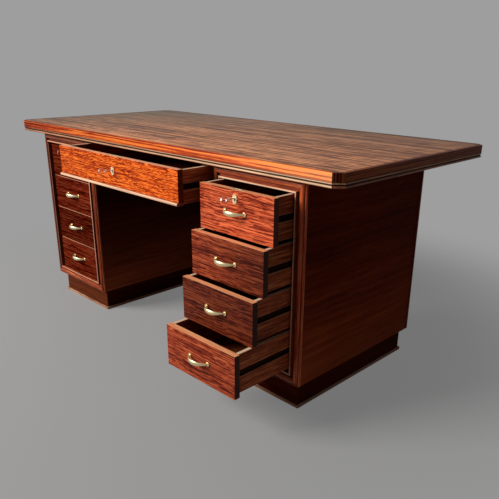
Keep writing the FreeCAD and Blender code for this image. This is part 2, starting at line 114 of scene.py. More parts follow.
# The long front length of the top's edge starts further forward of the desk's middle than the first of these,
# and is less deep than the second
FRONT_LENGTH_AHEAD, FRONT_LENGTH_DEPTH = 0.3, 0.2

# How far apart the boards of one piece may lie in the grain's pattern, and how much they differ in tone
GRAIN_SHIFT, SHADES = 30, (0.94, 1.06)
# How light each drawer front is at its left and its right end, against the finish's own colours:
# partly the veneer's own tone, partly painted light and shade that differs from front to front and across
# each
FRONT_TONES_AND_LIGHT = {
    "right_drawer_1": (0.88, 0.97), "right_drawer_2": (0.56, 0.20), "right_drawer_3": (0.26, 0.21),
    "right_drawer_4": (0.70, 0.56), "left_drawer_1": (0.14, 0.14), "left_drawer_2": (0.16, 0.19),
    "left_drawer_3": (0.12, 0.12), "left_drawer_4": (0.18, 0.18), "centre_drawer": (0.95, 1.2),
}
# The other boards' tones, near the floor and higher up, which paint light and shade: the outer sides lighter
# near the floor as if lit from it, the kneehole sides darker under the top, the rest lighter or darker as lit
BOARD_TONES_AND_LIGHT = {
    "right_outer_side": (5.0, 0.75), "left_outer_side": (1.3, 0.8), "left_inner_side": (1.7, 0.18),
    "right_inner_side": (0.6, 0.4), "left_plinth": (0.3, 0.3), "right_plinth": (0.5, 0.5),
    "right_drawer_1_box": (0.8, 0.8), "right_drawer_4_box": (1.15, 1.15), "back_frames": (0.5, 0.5),
}
# The band's tones, which paint its light and shade: at the left and the right of its front length, lighter
# to the right, along its other sides, in shade, and at its corners, darker still
BAND_LIGHT_TONES, BAND_END_SHADE, BAND_CORNER_SHADE = (0.5, 1.4), 0.27, 0.18
# Drawer bottoms darker: painted shade inside the boxes
BOX_BOTTOM_SHADE = 0.8
# The top's tones, which paint the light on it: at its front and its back, and the rise and the fall to its
# right, of which the lower counts
TOP_LIGHT_TONES, TOP_LIGHT_RISE, TOP_LIGHT_FALL = (1.5, 0.6), (0.35, 1.75), (1.15, 0.85)
# Each length of the front frames: its tone, which paints its light and shade, and how pale its thin lip is,
# from 0, the wood's own colour, to 1, a painted highlight on the lip
FRAME_LIGHT_LOOKS = {
    "left_front_frame": {
        "left": (0.20, 0.08), "right": (0.45, 0.4), "top": (0.6, 0.4), "bottom": (0.62, 0.3)},
    "right_front_frame": {
        "left": (0.45, 0.3), "right": (0.95, 0.35), "top": (1.15, 0.95), "bottom": (0.5, 0.25)},
}
# The top length's painted shade from its foot to its head, darker up under the top, and its painted sheen
FRAME_TOP_SHADE, FRAME_TOP_SHEEN = (1.7, 0.4), 0.07
# How pale the finger strip is, and the drawers' upper edges, partly lighter edge wood and partly a painted
# highlight on the faces that look up
FINGER_PALE, EDGE_PALE_AND_HIGHLIGHT = 0.7, 1.0
# How pale the lower front bead is at its left and its right end, and the lower and the upper bead elsewhere:
# partly lighter bead wood, mostly a painted highlight
BEAD_HIGHLIGHT, BEAD_END_HIGHLIGHT = (0.1, 1.0), (0.05, 0.45)
# The part of a bead that looks further down than this gets no painted highlight and stays dark
BEAD_UNDERSIDE = -0.35
# How pale the boards are at most: a painted sheen on the top, a painted highlight at the band's right end,
# painted light from the floor near the sides' foot, and a paler left plinth front
TOP_SHEEN, PLINTH_FRONT_PALE, BAND_HIGHLIGHT = 0.45, 0.22, 0.34
SIDE_FLOOR_LIGHT = {"right_outer_side": 1.0, "left_inner_side": 0.8}
# How much of its painted sheen the top shows at its front and its back, and how steeply the band's painted
# highlight rises to the right and nearness to the floor falls upwards
TOP_SHEEN_BACKWARDS, BAND_HIGHLIGHT_POWER, FLOOR_POWER = (0.4, 1.0), 5, 4

# Pieces with a finish of their own in place of their slot's
OWN_FINISHES = {"top_edge_bead": "edge_bead", "centre_drawer_front": "middle_front",
                **{"left_drawer_%d_front" % row: "left_front" for row in (1, 2, 3, 4)}}

# Where the small heads stand on a lock's plates, how far they are let in, and their sizes
SCREW_SHARE, SCREW_SINK = 0.39, 0.0002
PIN_SHARE, PIN_SINK = 0.42, 0.0001
SCREW_HEADS = {"Head Radius": 0.0026, "Head Height": 0.0007, "Slot Width": 0.0008, "Slot Depth": 0.00055,
               "Seed": 3}
PIN_HEADS = {"Head Radius": 0.0011, "Head Height": 0.0009, "Seed": 5}


def between(ends, share):
    """The value that lies this share of the way from the first end to the second."""
    return ends[0] + (ends[1] - ends[0]) * share


def bounds_of(spots):
    """The lowest and the highest corner of the box round these places."""
    return [Vector([pick(spot[axis] for spot in spots) for axis in range(3)]) for pick in (min, max)]


def put(tree, socket, value):
    """Gives a socket its value, or links it to another node's output."""
    if isinstance(value, bpy.types.NodeSocket):
        tree.links.new(value, socket)
    else:
        socket.default_value = value


def place(tree, kind, values=(), out=0, **settings):
    """Adds a node, gives its sockets their values or links, and returns one of its outputs."""
    made = tree.nodes.new(kind)
    for name, value in settings.items():
        setattr(made, name, value)
    for socket, value in dict(values).items():
        put(tree, made.inputs[socket], value)
    return made.outputs[out]


def maths(tree, operation, *values, clamp=False):
    return place(tree, "ShaderNodeMath", enumerate(values), operation=operation, use_clamp=clamp)


def stretched(tree, vector, scale):
    return place(tree, "ShaderNodeVectorMath", {0: vector, 1: scale}, operation="MULTIPLY")


def spread(tree, value, low, high, start=0.0, end=1.0):
    """A value taken from low..high to start..end, with soft ends."""
    return place(tree, "ShaderNodeMapRange", {0: value, 1: low, 2: high, 3: start, 4: end},
                 interpolation_type="SMOOTHSTEP")


def swing(tree, pattern, depth):
    """A pattern from 0 to 1 turned into a swing about zero, as deep as stated."""
    return maths(tree, "MULTIPLY", maths(tree, "SUBTRACT", pattern, 0.5), depth)


def blended(tree, factor, a, b, blend="MIX"):
    return place(tree, "ShaderNodeMix", {0: factor, 6: a, 7: b}, out=2, data_type="RGBA", blend_type=blend)


def speckle(tree, vector, scale, detail=2.0, roughness=0.5):
    return place(tree, "ShaderNodeTexNoise",
                 {"Vector": vector, "Scale": scale, "Detail": detail, "Roughness": roughness})


def new_group(name, inputs, outputs):
    """An empty shader group with named sockets. Returns its tree, its inputs and its output node."""
    tree = bpy.data.node_groups.new(name, "ShaderNodeTree")
    for socket, kind, value in inputs:
        made = tree.interface.new_socket(name=socket, in_out="INPUT", socket_type="NodeSocket" + kind)
        made.default_value = value
    for socket, kind in outputs:
        tree.interface.new_socket(name=socket, in_out="OUTPUT", socket_type="NodeSocket" + kind)
    return tree, tree.nodes.new("NodeGroupInput").outputs, tree.nodes.new("NodeGroupOutput")


def rosewood_figure():
    """Rosewood along each board's own grain: bands, streaks, short flecks, pores and faint cross figure, with
    the painted light, shade and highlights that each board's corners carry.
    """
    tree, given, result = new_group(
        "rosewood figure",
        [("Dark Wood", "Color", (0.03, 0.006, 0.003, 1)), ("Body Wood", "Color", (0.35, 0.05, 0.012, 1)),
         ("Light Wood", "Color", (0.75, 0.18, 0.05, 1)), ("Pale Wood", "Color", (0.8, 0.4, 0.2, 1)),
         ("End Grain", "Color", (0.028, 0.008, 0.005, 1)), ("Shade And Grime", "Color", (0.004, 0.002, 0.0015, 1)),
         ("Band Width", "Float", 0.03), ("Band Depth", "Float", 0.6), ("Streak Width", "Float", 0.005),
         ("Streak Length", "Float", 16.0), ("Streak Depth", "Float", 1.5), ("Fleck Width", "Float", 0.004),
         ("Fleck Length", "Float", 10.0), ("Fleck Depth", "Float", 0.4),
         ("Waviness", "Float", 0.004), ("Cross Figure", "Float", 0.1), ("Wear And Highlight", "Float", 0.6)],
        [("Color", "Color"), ("Roughness", "Float"), ("Height", "Float")])
    grain = place(tree, "ShaderNodeAttribute", attribute_name="grain", out=1)
    hollow = place(tree, "ShaderNodeAttribute", attribute_name="hollows", out=2)
    marks_and_light_node = tree.nodes.new("ShaderNodeAttribute")
    marks_and_light_node.attribute_name = "marks"
    marks = tree.nodes.new("ShaderNodeSeparateColor")
    tree.links.new(marks_and_light_node.outputs["Color"], marks.inputs[0])
    tone_and_light, end, worn_and_highlit = marks.outputs
    pale = marks_and_light_node.outputs["Alpha"]

    sway = speckle(tree, stretched(tree, grain, (7.0, 16.0, 16.0)), 1.0, 2.0)
    sway = swing(tree, sway, maths(tree, "MULTIPLY", given["Waviness"], 4.0))
    shift = place(tree, "ShaderNodeCombineXYZ", {1: sway, 2: sway})
    swayed = place(tree, "ShaderNodeVectorMath", {0: grain, 1: shift}, operation="ADD")
    long_streaks, short_flecks = [
        stretched(tree, swayed, place(tree, "ShaderNodeCombineXYZ", {
            0: maths(tree, "DIVIDE", 1.0, given[length]), 1: 1.0, 2: 1.0}))
        for length in ("Streak Length", "Fleck Length")]
    bands = speckle(tree, long_streaks, maths(tree, "DIVIDE", 1.0, given["Band Width"]), 3.0, 0.55)
    streaks = speckle(tree, long_streaks, maths(tree, "DIVIDE", 1.0, given["Streak Width"]), 3.0, 0.62)
    flecks = speckle(tree, short_flecks, maths(tree, "DIVIDE", 1.0, given["Fleck Width"]), 1.0, 0.5)
    cross = speckle(tree, stretched(tree, grain, (1.0, 0.12, 0.12)), 60.0, 2.0, 0.5)
    cloud = speckle(tree, stretched(tree, grain, (3.0, 9.0, 9.0)), 1.0, 2.0, 0.5)
    lightness = maths(tree, "ADD", swing(tree, cloud, 0.45), 0.5)
    for layer, depth in ((bands, "Band Depth"), (streaks, "Streak Depth"), (flecks, "Fleck Depth"),
                         (cross, "Cross Figure")):
        lightness = maths(tree, "ADD", lightness, swing(tree, layer, given[depth]))

    colour = blended(tree, spread(tree, lightness, 0.0, 0.55), given["Dark Wood"], given["Body Wood"])
    colour = blended(tree, spread(tree, lightness, 0.45, 1.0), colour, given["Light Wood"])
    pores = speckle(tree, stretched(tree, swayed, (0.10, 1.0, 1.0)), 1500.0, 1.0, 0.5)
    pores = spread(tree, pores, 0.62, 0.72)
    colour = blended(tree, maths(tree, "MULTIPLY", pores, 0.6), colour, given["Dark Wood"])
    # The tone scales the colour: the wood's own tone, with painted light and shade
    colour = place(tree, "ShaderNodeVectorMath", {0: colour, "Scale": tone_and_light}, operation="SCALE")
    streaky = spread(tree, streaks, 0.25, 0.6, 0.55, 1.0)
    # Pale wood where the paleness says, mostly painted highlights, sheen and light from the floor
    colour = blended(tree, maths(tree, "MULTIPLY", pale, streaky), colour, given["Pale Wood"])
    colour = blended(tree, maths(tree, "MULTIPLY", end, 0.9), colour, given["End Grain"])
    # Eased edges turn paler: partly wear, partly a painted highlight
    rubbed_and_highlit = maths(tree, "MULTIPLY", worn_and_highlit, spread(tree, cloud, 0.3, 0.7, 0.15, 1.0))
    colour = blended(tree, maths(tree, "MULTIPLY", rubbed_and_highlit, given["Wear And Highlight"]), colour, given["Pale Wood"])
    # Painted shade, with some grime, in hollows and grooves
    shade_and_grime = spread(tree, hollow, 0.10, 0.52, 0.0, 0.94)
    colour = blended(tree, shade_and_grime, colour, given["Shade And Grime"])

    rough = maths(tree, "ADD", swing(tree, cloud, 0.14), maths(tree, "MULTIPLY", pores, 0.2))
    rough = maths(tree, "ADD", rough, maths(tree, "MULTIPLY", shade_and_grime, 0.4))
    put(tree, result.inputs["Color"], colour)
    put(tree, result.inputs["Roughness"], rough)
    relief = maths(tree, "SUBTRACT", maths(tree, "MULTIPLY", streaks, 0.35), pores)
    put(tree, result.inputs["Height"], relief)
    return tree


def aged_metal():
    """Old metal: clean, darker in tarnished patches, with fine scratches."""
    tree, given, result = new_group(
        "aged metal",
        [("Clean", "Color", (0.8, 0.62, 0.35, 1)), ("Tarnish", "Color", (0.2, 0.12, 0.05, 1)),
         ("Patch Size", "Float", 0.006), ("Tarnish Amount", "Float", 0.5), ("Roughness", "Float", 0.3)],
        [("Color", "Color"), ("Roughness", "Float"), ("Height", "Float")])
    spot = place(tree, "ShaderNodeTexCoord", out=3)
    patches = speckle(tree, spot, maths(tree, "DIVIDE", 1.0, given["Patch Size"]), 4.0, 0.6)
    scratches = speckle(tree, stretched(tree, spot, (1.0, 1.0, 14.0)), 900.0, 2.0, 0.6)
    dull = maths(tree, "MULTIPLY", spread(tree, patches, 0.42, 0.72), given["Tarnish Amount"])
    put(tree, result.inputs["Color"], blended(tree, dull, given["Clean"], given["Tarnish"]))
    rough = maths(tree, "ADD", given["Roughness"], maths(tree, "MULTIPLY", dull, 0.3))
    rough = maths(tree, "ADD", rough, swing(tree, scratches, 0.15))
    put(tree, result.inputs["Roughness"], rough)
    put(tree, result.inputs["Height"], maths(tree, "ADD", scratches, maths(tree, "MULTIPLY", patches, 0.6)))
    return tree


def finish(name, group, values, bump, metallic=0.0, base_roughness=0.0, **shader_values):
    """A material whose colour, roughness and relief come from one of the groups."""
    material = bpy.data.materials.new(name)
    material.use_nodes = True
    tree = material.node_tree
    shader = tree.nodes["Principled BSDF"]
    pattern = tree.nodes.new("ShaderNodeGroup")
    pattern.node_tree = group
    for socket, value in values.items():
        pattern.inputs[socket].default_value = value
    tree.links.new(pattern.outputs["Color"], shader.inputs["Base Color"])
    rough = maths(tree, "ADD", pattern.outputs["Roughness"], base_roughness, clamp=True)
    put(tree, shader.inputs["Roughness"], rough)
    relief = place(tree, "ShaderNodeBump", {
        "Strength": 0.6, "Distance": bump, "Height": pattern.outputs["Height"]})
    put(tree, shader.inputs["Normal"], relief)
    shader.inputs["Metallic"].default_value = metallic
    for socket, value in shader_values.items():
        shader.inputs[socket.replace("_", " ").title().replace("Ior", "IOR")].default_value = value
    return material


FIGURE, METAL = rosewood_figure(), aged_metal()
# The pale wood of each finish is also the colour of its painted highlights, sheen and light from the floor
MATERIALS = {
    "top_veneer": finish("top veneer", FIGURE, {
        "Dark Wood": (0.11, 0.033, 0.014, 1), "Body Wood": (0.49, 0.168, 0.072, 1),
        "Light Wood": (0.87, 0.375, 0.175, 1), "Pale Wood": (0.42, 0.36, 0.28, 1), "Streak Width": 0.0075,
        "Streak Length": 80.0, "Streak Depth": 5.2, "Fleck Width": 0.006, "Fleck Length": 14.0,
        "Fleck Depth": 1.9, "Band Width": 0.06, "Band Depth": 1.2, "Cross Figure": 1.1, "Waviness": 0.003,
        "Wear And Highlight": 0.2},
        0.00004, base_roughness=0.36, specular_ior_level=0.10),
    "edge_veneer": finish("edge veneer", FIGURE, {
        "Dark Wood": (0.26, 0.018, 0.005, 1), "Body Wood": (0.64, 0.075, 0.014, 1),
        "Light Wood": (1.0, 0.25, 0.045, 1), "Pale Wood": (0.97, 0.55, 0.26, 1), "Streak Width": 0.0060,
        "Streak Length": 90.0, "Streak Depth": 7.0, "Fleck Depth": 0.8, "Band Width": 0.012,
        "Band Depth": 1.0, "Waviness": 0.001, "Wear And Highlight": 0.35},
        0.00006, base_roughness=0.36, specular_ior_level=0.05),
    "edge_bead": finish("edge bead", FIGURE, {
        "Dark Wood": (0.06, 0.010, 0.003, 1), "Body Wood": (0.24, 0.055, 0.02, 1),
        "Light Wood": (0.5, 0.18, 0.08, 1), "Pale Wood": (0.97, 0.62, 0.38, 1), "Streak Width": 0.004,
        "Streak Length": 30.0, "Streak Depth": 2.0, "Band Width": 0.02, "Waviness": 0.001, "Wear And Highlight": 0.2},
        0.00004, base_roughness=0.34, specular_ior_level=0.12),
    "front_veneer": finish("front veneer", FIGURE, {
        "Dark Wood": (0.12, 0.011, 0.005, 1), "Body Wood": (0.48, 0.057, 0.017, 1),
        "Light Wood": (0.91, 0.19, 0.066, 1), "Pale Wood": (0.97, 0.42, 0.20, 1), "Streak Width": 0.0030,
        "Streak Length": 70.0, "Streak Depth": 4.4, "Fleck Width": 0.0018, "Fleck Length": 14.0,
        "Fleck Depth": 1.2, "Band Width": 0.024, "Band Depth": 0.9, "Waviness": 0.005},
        0.00006, base_roughness=0.42, specular_ior_level=0.1),
    "left_front": finish("left front veneer", FIGURE, {
        "Dark Wood": (0.14, 0.007, 0.003, 1), "Body Wood": (0.60, 0.045, 0.014, 1),
        "Light Wood": (1.0, 0.18, 0.07, 1), "Pale Wood": (0.97, 0.45, 0.28, 1), "Streak Width": 0.0042,
        "Streak Length": 60.0, "Streak Depth": 4.8, "Fleck Width": 0.0022, "Fleck Length": 14.0,
        "Fleck Depth": 0.9, "Band Width": 0.03, "Band Depth": 1.2, "Waviness": 0.004},
        0.00006, base_roughness=0.5, specular_ior_level=0.0),
    "middle_front": finish("middle front veneer", FIGURE, {
        "Dark Wood": (0.17, 0.011, 0.001, 1), "Body Wood": (0.51, 0.054, 0.003, 1),
        "Light Wood": (0.95, 0.21, 0.025, 1), "Pale Wood": (0.97, 0.48, 0.28, 1), "Streak Width": 0.0032,
        "Streak Length": 44.0, "Streak Depth": 3.6, "Fleck Width": 0.0020, "Fleck Length": 9.0,
        "Fleck Depth": 2.0, "Band Width": 0.03, "Band Depth": 1.0, "Waviness": 0.007},
        0.00006, base_roughness=0.42, specular_ior_level=0.05),
    # Darker than the fronts: partly a darker veneer, partly painted shade on the sides
    "carcass_veneer": finish("carcass veneer", FIGURE, {
        "Dark Wood": (0.045, 0.004, 0.0006, 1), "Body Wood": (0.13, 0.014, 0.002, 1),
        "Light Wood": (0.24, 0.036, 0.007, 1), "Pale Wood": (0.30, 0.085, 0.035, 1), "Streak Width": 0.012,
        "Streak Length": 24.0, "Streak Depth": 1.2, "Fleck Depth": 0.3, "Band Width": 0.05, "Band Depth": 0.8,
        "Waviness": 0.004, "Wear And Highlight": 0.3}, 0.00005, base_roughness=0.5, specular_ior_level=0.01),
    "moulding": finish("moulding", FIGURE, {
        "Dark Wood": (0.17, 0.014, 0.003, 1), "Body Wood": (0.50, 0.074, 0.018, 1),
        "Light Wood": (0.85, 0.24, 0.08, 1), "Pale Wood": (0.95, 0.70, 0.48, 1), "Streak Width": 0.004,
        "Streak Length": 40.0, "Streak Depth": 2.0, "Fleck Depth": 0.8, "Band Width": 0.012,
        "Band Depth": 0.8, "Waviness": 0.001, "End Grain": (0.1, 0.02, 0.008, 1), "Wear And Highlight": 0.0},
        0.00004, base_roughness=0.32, specular_ior_level=0.15),
    "shoe": finish("base shoe", FIGURE, {
        "Dark Wood": (0.12, 0.040, 0.018, 1), "Body Wood": (0.34, 0.15, 0.08, 1),
        "Light Wood": (0.62, 0.36, 0.22, 1), "Pale Wood": (0.8, 0.58, 0.42, 1), "Streak Width": 0.004,
        "Streak Depth": 1.6, "Fleck Depth": 0.6, "Band Width": 0.015, "Band Depth": 0.6, "Waviness": 0.001},
        0.00005, base_roughness=0.45, specular_ior_level=0.2),
    "drawer_lining": finish("drawer lining", FIGURE, {
        "Dark Wood": (0.09, 0.014, 0.005, 1), "Body Wood": (0.30, 0.062, 0.021, 1),
        "Light Wood": (0.56, 0.17, 0.065, 1), "Pale Wood": (0.85, 0.58, 0.40, 1), "Streak Width": 0.006,
        "Streak Length": 24.0, "Streak Depth": 2.0, "Fleck Depth": 0.8, "Band Width": 0.03, "Band Depth": 0.7,
        "Waviness": 0.002, "Wear And Highlight": 0.5}, 0.00006, base_roughness=0.5, specular_ior_level=0.06),
    "frame_wood": finish("frame wood", FIGURE, {
        "Dark Wood": (0.11, 0.05, 0.022, 1), "Body Wood": (0.26, 0.13, 0.065, 1),
        "Light Wood": (0.44, 0.26, 0.14, 1), "Pale Wood": (0.5, 0.33, 0.2, 1), "Streak Width": 0.005,
        "Streak Depth": 1.1, "Fleck Depth": 0.3, "Band Width": 0.03, "Band Depth": 0.6, "Waviness": 0.003},
        0.00006, base_roughness=0.6, specular_ior_level=0.2),
    "pull_brass": finish("pull brass", METAL, {
        "Clean": (1.0, 0.85, 0.50, 1), "Tarnish": (0.34, 0.21, 0.09, 1), "Tarnish Amount": 0.35,
        "Roughness": 0.36}, 0.00003, metallic=1.0),
    "lock_brass": finish("lock brass", METAL, {
        "Clean": (0.97, 0.80, 0.50, 1), "Tarnish": (0.30, 0.19, 0.08, 1), "Tarnish Amount": 0.45,
        "Roughness": 0.40}, 0.00003, metallic=0.7),
    "lock_steel": finish("lock steel", METAL, {
        "Clean": (0.55, 0.54, 0.52, 1), "Tarnish": (0.16, 0.12, 0.09, 1), "Roughness": 0.36},
        0.00003, metallic=1.0),
    "key_steel": finish("key steel", METAL, {
        "Clean": (0.92, 0.89, 0.80, 1), "Tarnish": (0.27, 0.23, 0.17, 1), "Tarnish Amount": 0.4,
        "Roughness": 0.3}, 0.00003, metallic=1.0),
}
METAL_SLOTS = ("pull_brass", "lock_brass", "lock_steel", "key_steel")


def solids_of(node):
    """The node's triangles, in one list for each closed solid."""
    mesh = frame["nodes"][node].data
    places = [tuple(round(c, 6) for c in v.co) for v in mesh.vertices]
    open_edges, solids, triangles = Counter(), [], []
    for face in mesh.polygons:
        corners = [places[i] for i in face.vertices]
        triangles.append(corners)
        for a, b in zip(corners, corners[1:] + corners[:1]):
            if a == b:
                continue
            if open_edges[b, a]:
                open_edges[b, a] -= 1
                if not open_edges[b, a]:
                    del open_edges[b, a]
            else:
                open_edges[a, b] += 1
        if not open_edges:
            solids.append(triangles)
            triangles = []
    return solids


def in_steady_order(shape, eased):
    """The same solid with its faces in the order of their corners, because cutting leaves them in an order
    that changes from run to run. Also gives the eased faces."""
    shape.verts.index_update()
    rows = []
    for face in shape.faces:
        corners = [v.index for v in face.verts]
        rows.append((sorted(corners), corners, face in eased))
    steady, steady_eased = bmesh.new(), set()
    verts = [steady.verts.new(v.co) for v in shape.verts]
    for _, corners, is_eased in sorted(rows):
        face = steady.faces.new([verts[index] for index in corners])
        if is_eased:
            steady_eased.add(face)
    shape.free()
    return steady, steady_eased


def worked(triangles, bevel, shortest, cuts):
    """One solid with its flat faces made whole, its longer outer edges eased, and cuts across it, so that
    tones can curve. Also gives the eased faces."""
    shape = bmesh.new()
    corners_made = {}
    for triangle in triangles:
        corners = []
        for spot in triangle:
            if spot not in corners_made:
                corners_made[spot] = shape.verts.new(spot)
            corners.append(corners_made[spot])
        if len(set(corners)) == 3 and shape.faces.get(corners) is None:
            shape.faces.new(corners)
    bmesh.ops.dissolve_limit(shape, angle_limit=FLAT_FACE, verts=shape.verts, edges=shape.edges)
    shape.normal_update()
    sharp = [e for e in shape.edges if len(e.link_faces) == 2 and e.calc_length() > shortest
             and e.is_convex and e.calc_face_angle(0.0) > SHARP_EDGE]
    eased = set()
    if sharp and bevel:
        made = bmesh.ops.bevel(shape, geom=sharp, offset=bevel, offset_type="OFFSET", segments=2, profile=0.5,
                               affect="EDGES", clamp_overlap=True)
        eased = set(made["faces"])
    low, high = bounds_of([v.co for v in shape.verts])
    for axis, count in cuts:
        for step in range(1, count):
            spot, normal = Vector(), Vector()
            spot[axis] = low[axis] + (high[axis] - low[axis]) * step / count
            normal[axis] = 1.0
            flat = [f for f in shape.faces if f not in eased]
            edges = list(dict.fromkeys(e for f in flat for e in f.edges))
            bmesh.ops.bisect_plane(shape, geom=flat + edges, plane_co=spot, plane_no=normal)
    if cuts:
        shape, eased = in_steady_order(shape, eased)
    shape.normal_update()
    return shape, eased


def is_corner_piece(node, size):
    """The short lengths of the top's edge that run across its clipped corners."""
    edge = node in ("top_edge_band", "top_edge_bead")
    return edge and CORNER_RATIO[0] < size.x / size.y < CORNER_RATIO[1]


def is_front_length(node, low, high):
    """Whether a length of the top's edge is the long one along the front."""
    ahead = low.y < DESK_MIDDLE_Y - FRONT_LENGTH_AHEAD
    shallow = high.y - low.y < FRONT_LENGTH_DEPTH
    return ahead and shallow and not is_corner_piece(node, high - low)


def grain_axes(node, low, high, middle):
    """The board's grain direction and the two directions across it."""
    size = high - low
    if is_corner_piece(node, size):
        outward = Vector((middle.x, middle.y - DESK_MIDDLE_Y, 0))
        across = Vector((1, 1 if outward.x * outward.y < 0 else -1, 0)).normalized()
        if node == "top_edge_band":
            return Vector((0, 0, 1)), across, outward.normalized()
        return across, Vector((0, 0, 1)), outward.normalized()
    if node.endswith("_side"):
        along = Vector((0, 1, 0))
    elif node.endswith("_plinth"):
        along = Vector((1, 0, 0)) if size.x > size.y else Vector((0, 1, 0))
    else:
        longest = max(range(3), key=lambda axis: size[axis])
        along = Vector([float(axis == longest) for axis in range(3)])
    up = Vector((0, 1, 0)) if along.z else Vector((0, 0, 1))
    return along, up, along.cross(up)


def frame_length(node, low, high):
    """Which length of a front frame this is."""
    if high.x - low.x > high.z - low.z:
        return "top" if low.z > DESK_HEIGHT / 2 else "bottom"
    inner, outer = FRAME_BOXES[node]
    return "left" if low.x + high.x < inner[0] + outer[0] else "right"


def nearness_to_floor(spot):
    """1 at the floor, and soon near 0 above it."""
    return (1.0 - spot.z / DESK_HEIGHT) ** FLOOR_POWER


def tone_and_light_at(node, spot, low, high):
    """How light the wood is at a place on one board, against the finish's own colours: its own tone, and on
    many boards painted light and shade.
    """
    along = (spot.x - low.x) / (high.x - low.x)
    if node == "top_edge_band":
        if is_corner_piece(node, high - low):
            return BAND_CORNER_SHADE
        return between(BAND_LIGHT_TONES, along) if is_front_length(node, low, high) else BAND_END_SHADE
    if node == "top_panel":
        tone_and_light = between(TOP_LIGHT_TONES, (spot.y - low.y) / (high.y - low.y))
        return tone_and_light * min(between(TOP_LIGHT_RISE, along), between(TOP_LIGHT_FALL, along))
    if node in FRAME_LIGHT_LOOKS:
        length = frame_length(node, low, high)
        tone_and_light = FRAME_LIGHT_LOOKS[node][length][0]
        if length == "top":
            tone_and_light *= between(FRAME_TOP_SHADE, (spot.z - low.z) / (high.z - low.z))
        return tone_and_light
    if node.endswith("_front"):
        return between(FRONT_TONES_AND_LIGHT[node[:-len("_front")]], along)
    if node.endswith("_box") and high.z - low.z < THIN_BOTTOM:
        return BOX_BOTTOM_SHADE
    lower, upper = BOARD_TONES_AND_LIGHT.get(node, (1.0, 1.0))
    return between((upper, lower), nearness_to_floor(spot))


def paleness_and_light(node, spot, middle, normal, low, high):
    """How much pale wood shows, much of it painted light: highlights on drawer edges, thin lips and beads,
    sheen on the top and the band, light from the floor on the sides, and the paler finger strip and left
    plinth front.
    """
    along, back = (spot.x - low.x) / (high.x - low.x), (spot.y - low.y) / (high.y - low.y)
    if node == "top_panel":
        return TOP_SHEEN * (1.0 - along) * between(TOP_SHEEN_BACKWARDS, back)
    if node == "top_edge_band" and normal.y < -NEARLY:
        return BAND_HIGHLIGHT * along ** BAND_HIGHLIGHT_POWER
    if node == "left_plinth" and normal.y < -HALF:
        return PLINTH_FRONT_PALE
    if node.endswith("_side"):
        return SIDE_FLOOR_LIGHT.get(node, 0.0) * nearness_to_floor(spot)
    if node == "centre_drawer_finger_lip":
        return FINGER_PALE
    if "drawer" in node:
        edge = normal.z > MOSTLY and node.endswith(("_front", "_box")) and high.z - low.z > THIN_BOTTOM
        return EDGE_PALE_AND_HIGHLIGHT if edge else 0.0
    if node == "top_edge_bead" and normal.z > BEAD_UNDERSIDE:
        upper_bead = middle.z > (low.z + high.z) / 2
        if not is_front_length(node, low, high):
            return BEAD_END_HIGHLIGHT[upper_bead]
        return between((0.0 if upper_bead else BEAD_HIGHLIGHT[0], BEAD_HIGHLIGHT[1]), along)
    if node in FRAME_LIGHT_LOOKS and abs(normal.y) > HALF:
        length = frame_length(node, low, high)
        inner, outer = FRAME_BOXES[node]
        side = min(middle.x - inner[0], outer[0] - middle.x)
        if min(side, middle.z - inner[2], outer[2] - middle.z) > LIP_FROM_OUTSIDE:
            return FRAME_LIGHT_LOOKS[node][length][1]
        return FRAME_TOP_SHEEN if length == "top" else 0.0
    return 0.0


def probe_rays():
    """Directions spread over the half space above a face that looks along Z."""
    rays = [Vector((0, 0, 1))]
    for degrees, count in RAY_RINGS:
        tilt = math.radians(degrees)
        for step in range(count):
            turn = tilt + step * math.tau / count
            flat = math.sin(tilt)
            rays.append(Vector((flat * math.cos(turn), flat * math.sin(turn), math.cos(tilt))))
    return rays


def body_surface(names):
    """The ray target made of all the solids of one body, so a drawer keeps its painted shade in hollows
    wherever it slides.
    """
    places, faces = [], []
    for name in names:
        mesh = frame["nodes"][name].data
        first = len(places)
        places.extend(v.co.copy() for v in mesh.vertices)
        faces.extend([first + i for i in f.vertices] for f in mesh.polygons)
    return BVHTree.FromPolygons(places, faces)


def hollowness(middle, normal, surface):
    """How shut in a face is, from 0 in the open to 1 deep in a groove, where the finish paints shade, with
    some dirt and old polish.
    """
    turn = normal.to_track_quat("Z", "Y")
    start, total = middle + normal * PROBE_LIFT, 0.0
    for ray in PROBE_RAYS:
        distance = surface.ray_cast(start, turn @ ray, HOLLOW_REACH)[3]
        if distance is not None:
            total += 1.0 - distance / HOLLOW_REACH
    return total / len(PROBE_RAYS)


PROBE_RAYS = probe_rays()
FRAME_BOXES = {node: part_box(node) for node in FRAME_LIGHT_LOOKS}


def in_groove(node, middle, normal, low, high):
    """Whether a face lies inside a runner's groove in a drawer side, or between the beads under the band."""
    if node == "top_edge_bead":
        return abs(middle.z - low.z - EDGE_GROOVE[0]) < EDGE_GROOVE[1]
    if node.endswith("_box") and high.x - low.x < SIDE_THICKNESS and high.z - low.z > SIDE_HEIGHT:
        sunk = min(middle.x - low.x, high.x - middle.x) > GROOVE_DEPTH and abs(normal.y) < HALF
        return sunk and low.z + GROOVE_MARGIN < middle.z < high.z - GROOVE_MARGIN
    return False


ShownFace = namedtuple("ShownFace", "corners normal area hollow marks")


def corner_values(faces):
    """Each corner's normal, marks and painted shade in hollows. Faces that meet there smoothly share the
    normal and the shade.
    """
    around = defaultdict(list)
    for face in faces:
        for corner in face.corners:
            around[corner].append(face)
    limit, normals, marks, hollows = math.cos(SMOOTH_LIMIT), [], [], []
    for face in faces:
        for corner, mark in zip(face.corners, face.marks):
            near = [other for other in around[corner] if other.normal.dot(face.normal) > limit]
            total = sum((other.normal * other.area for other in near), Vector())
            normals.append(total.normalized() if total.length else face.normal)
            weight = sum(other.area for other in near)
            hollows.append(sum(other.hollow * other.area for other in near) / weight if weight else 0.0)
            marks.extend(mark)
    return normals, marks, hollows


